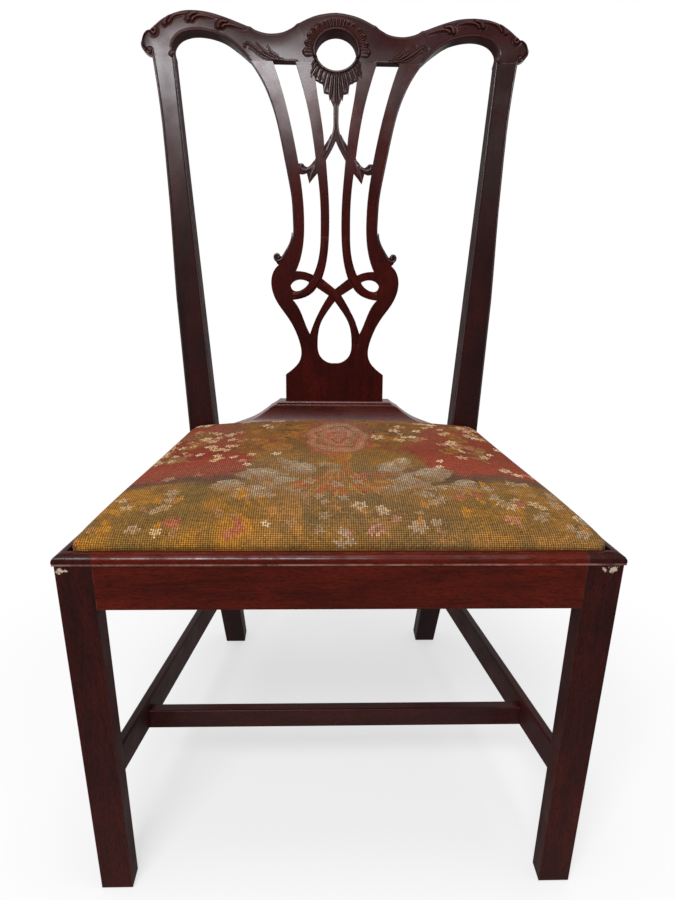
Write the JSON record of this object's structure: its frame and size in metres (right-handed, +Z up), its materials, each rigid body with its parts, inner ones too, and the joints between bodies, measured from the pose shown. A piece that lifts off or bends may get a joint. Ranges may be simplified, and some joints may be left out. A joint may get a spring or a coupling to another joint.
{
  "type": "side chair",
  "caption": "Carved wooden side chair with serpentine crest, pierced strapwork splat, square legs joined by stretchers, and a lift-out needlework seat.",
  "frame": {"origin": "on the floor, under the middle of the chair's bounding box", "axes": "+Z up; +Y from the front rail to the back; +X to the right as one faces the chair's front"},
  "size_m": [0.554, 0.553, 0.9675],
  "materials": {
    "mahogany": "dark red-brown mahogany, french polished, worn satin sheen",
    "secondary_wood": "plain unpolished beech",
    "screw_steel": "plain screws",
    "webbing": "woven jute",
    "hessian": "open plain weave",
    "stuffing": "curled hair under calico",
    "needlework": "wool on canvas, olive gold in front and faded brick red behind",
    "dust_cloth": "black cotton",
    "tack_iron": "blued tacks"
  },
  "bodies": {
    "chair_frame": {"front_leg_left": "mahogany", "front_leg_right": "mahogany", "back_post_left": "mahogany", "back_post_right": "mahogany", "front_rail": "mahogany", "rear_rail": "mahogany", "side_rail_left": "mahogany", "side_rail_right": "mahogany", "side_stretcher_left": "mahogany", "side_stretcher_right": "mahogany", "cross_stretcher": "mahogany", "splat_shoe": "mahogany", "splat": "mahogany", "crest_rail": "mahogany", "corner_block_front_left": "secondary_wood", "corner_block_front_right": "secondary_wood", "corner_block_rear_left": "secondary_wood", "corner_block_rear_right": "secondary_wood", "corner_block_screws": "screw_steel"},
    "drop_in_seat": {"seat_frame_front": "secondary_wood", "seat_frame_rear": "secondary_wood", "seat_frame_left": "secondary_wood", "seat_frame_right": "secondary_wood", "webbing_front_to_back": "webbing", "webbing_side_to_side": "webbing", "seat_hessian": "hessian", "seat_stuffing": "stuffing", "needlework_cover": "needlework", "dust_cover": "dust_cloth", "seat_tacks": "tack_iron"}
  },
  "joints": [
    {"name": "seat_lift", "type": "slide", "parent": "chair_frame", "child": "drop_in_seat", "axis": [0, 0, 1], "range_m": [0, 0.08]}
  ]
}
